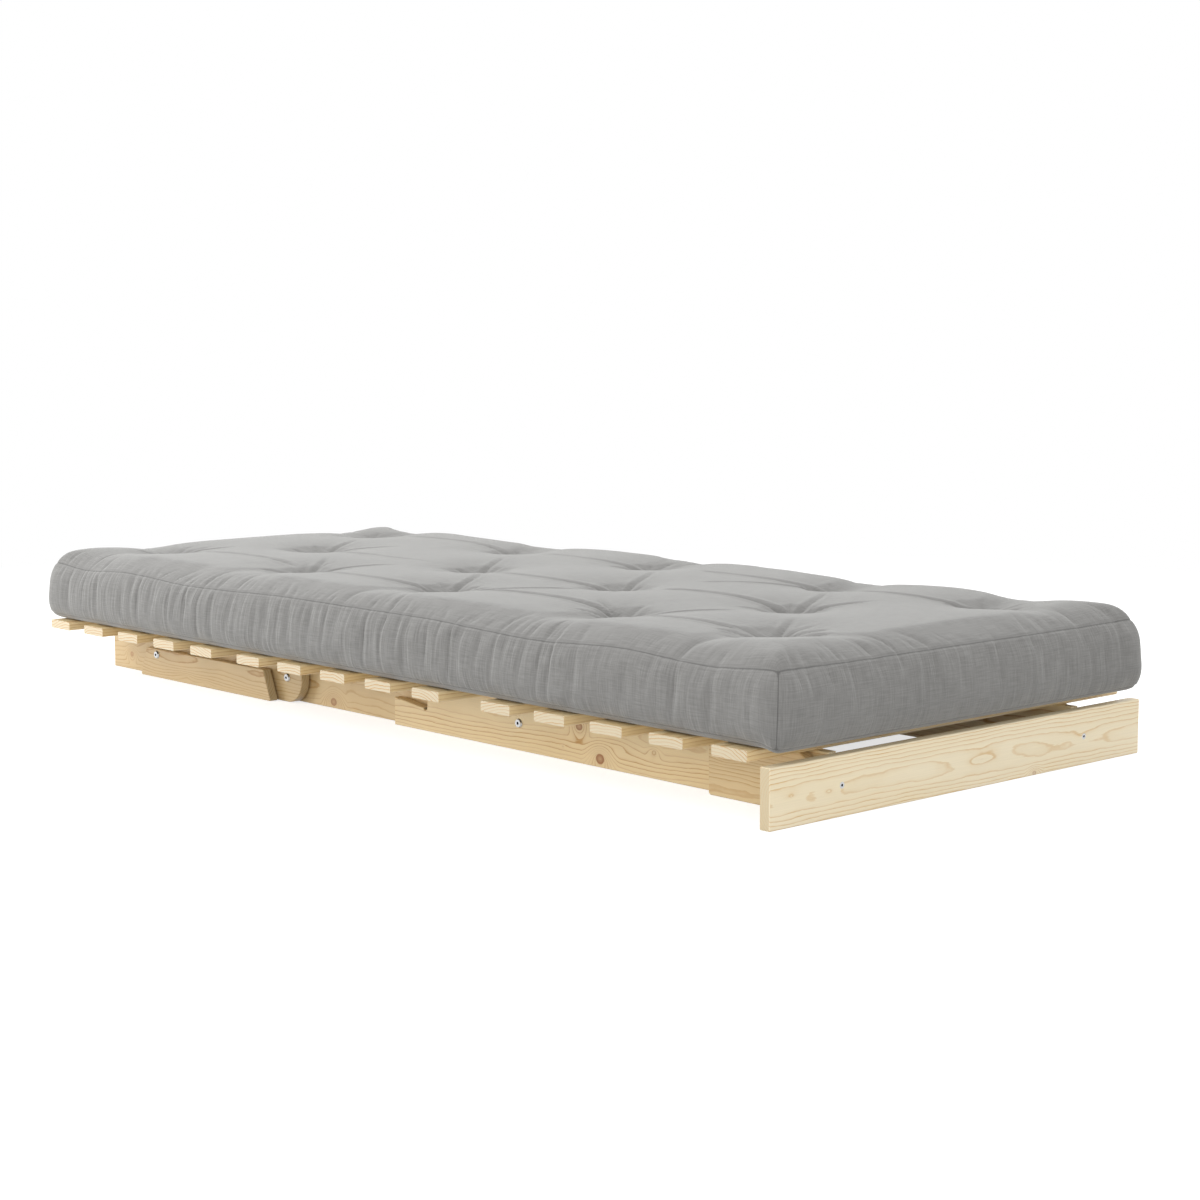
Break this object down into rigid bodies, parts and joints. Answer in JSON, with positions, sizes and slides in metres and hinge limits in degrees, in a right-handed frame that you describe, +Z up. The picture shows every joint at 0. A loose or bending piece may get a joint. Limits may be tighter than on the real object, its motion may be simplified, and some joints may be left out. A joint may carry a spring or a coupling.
{
  "type": "futon sofa bed",
  "caption": "Low pine futon bed in three hinged slatted sections under one tufted mattress; folds into a sofa, or a lounger on swing-out prop legs.",
  "frame": {"origin": "middle of the bed's footprint, on the floor", "axes": "+Z up, front board towards -Y, head end towards +Y, X across the bed"},
  "size_m": [0.9, 2.0762, 0.2583],
  "materials": {
    "lacquered_pine": "planed pine, clear satin lacquer",
    "cotton_cover": "grey cotton canvas, plain weave",
    "zinc_steel": "bright zinc plate",
    "nylon_washer": "natural nylon"
  },
  "bodies": {
    "base": {"front_board": "lacquered_pine", "front_board_screws": "zinc_steel", "seat_rail_left": "lacquered_pine", "seat_rail_right": "lacquered_pine", "seat_slat_1": "lacquered_pine", "seat_slat_2": "lacquered_pine", "seat_slat_3": "lacquered_pine", "seat_slat_4": "lacquered_pine", "seat_slat_5": "lacquered_pine", "front_leg_bolts": "zinc_steel", "front_leg_nuts": "zinc_steel", "front_leg_washers": "nylon_washer", "seat_pivot_bolts": "zinc_steel", "seat_pivot_nuts": "zinc_steel", "seat_pivot_washers": "nylon_washer", "mattress_seat": "cotton_cover", "mattress_seat_fold": "cotton_cover"},
    "front_leg_left": {"front_leg_left": "lacquered_pine"},
    "front_leg_right": {"front_leg_right": "lacquered_pine"},
    "back_frame": {"back_rail_left": "lacquered_pine", "back_rail_right": "lacquered_pine", "back_slat_1": "lacquered_pine", "back_slat_2": "lacquered_pine", "back_slat_3": "lacquered_pine", "back_slat_4": "lacquered_pine", "back_slat_5": "lacquered_pine", "mattress_back": "cotton_cover"},
    "head_pins": {"head_pivot_bolts": "zinc_steel", "head_pivot_nuts": "zinc_steel", "head_pivot_washers": "nylon_washer", "mattress_head_fold": "cotton_cover"},
    "head_frame": {"head_rail_left": "lacquered_pine", "head_rail_right": "lacquered_pine", "head_slat_1": "lacquered_pine", "head_slat_2": "lacquered_pine", "head_slat_3": "lacquered_pine", "head_slat_4": "lacquered_pine", "head_slat_5": "lacquered_pine", "prop_leg_bolts": "zinc_steel", "prop_leg_nuts": "zinc_steel", "prop_leg_washers": "nylon_washer", "mattress_head": "cotton_cover"},
    "prop_leg_left": {"prop_leg_left": "lacquered_pine"},
    "prop_leg_right": {"prop_leg_right": "lacquered_pine"}
  },
  "joints": [
    {"name": "back_rise", "type": "hinge", "parent": "base", "child": "back_frame", "pos_m": [0, -0.3124, 0.047], "axis": [1, 0, 0], "range_deg": [0, 68.5], "deforming": ["mattress_seat_fold"]},
    {"name": "head_raise", "type": "hinge", "parent": "back_frame", "child": "head_pins", "pos_m": [0, 0.3681, 0.047], "axis": [-1, 0, 0], "range_deg": [-46.28, 0], "deforming": ["mattress_head_fold"]},
    {"name": "head_fold", "type": "hinge", "parent": "head_pins", "child": "head_frame", "pos_m": [0, 0.3681, 0.047], "axis": [-1, 0, 0], "range_deg": [0, 154], "deforming": ["mattress_head_fold"]},
    {"name": "prop_leg_left_swing", "type": "hinge", "parent": "head_frame", "child": "prop_leg_left", "pos_m": [0, 0.7986, 0.047], "axis": [1, 0, 0], "range_deg": [0, 66]},
    {"name": "prop_leg_right_swing", "type": "hinge", "parent": "head_frame", "child": "prop_leg_right", "pos_m": [0, 0.7986, 0.047], "axis": [1, 0, 0], "range_deg": [0, 66]},
    {"name": "front_leg_left_swing", "type": "hinge", "parent": "base", "child": "front_leg_left", "pos_m": [0, -0.9551, 0.047], "axis": [-1, 0, 0], "range_deg": [0, 82.83]},
    {"name": "front_leg_right_swing", "type": "hinge", "parent": "base", "child": "front_leg_right", "pos_m": [0, -0.9551, 0.047], "axis": [-1, 0, 0], "range_deg": [0, 83.03]}
  ],
  "couplings": [
    {"joint": "prop_leg_left_swing", "follows": "head_raise", "ratio": -1.4141},
    {"joint": "prop_leg_right_swing", "follows": "head_raise", "ratio": -1.4141},
    {"joint": "front_leg_right_swing", "follows": "front_leg_left_swing", "ratio": 1}
  ]
}
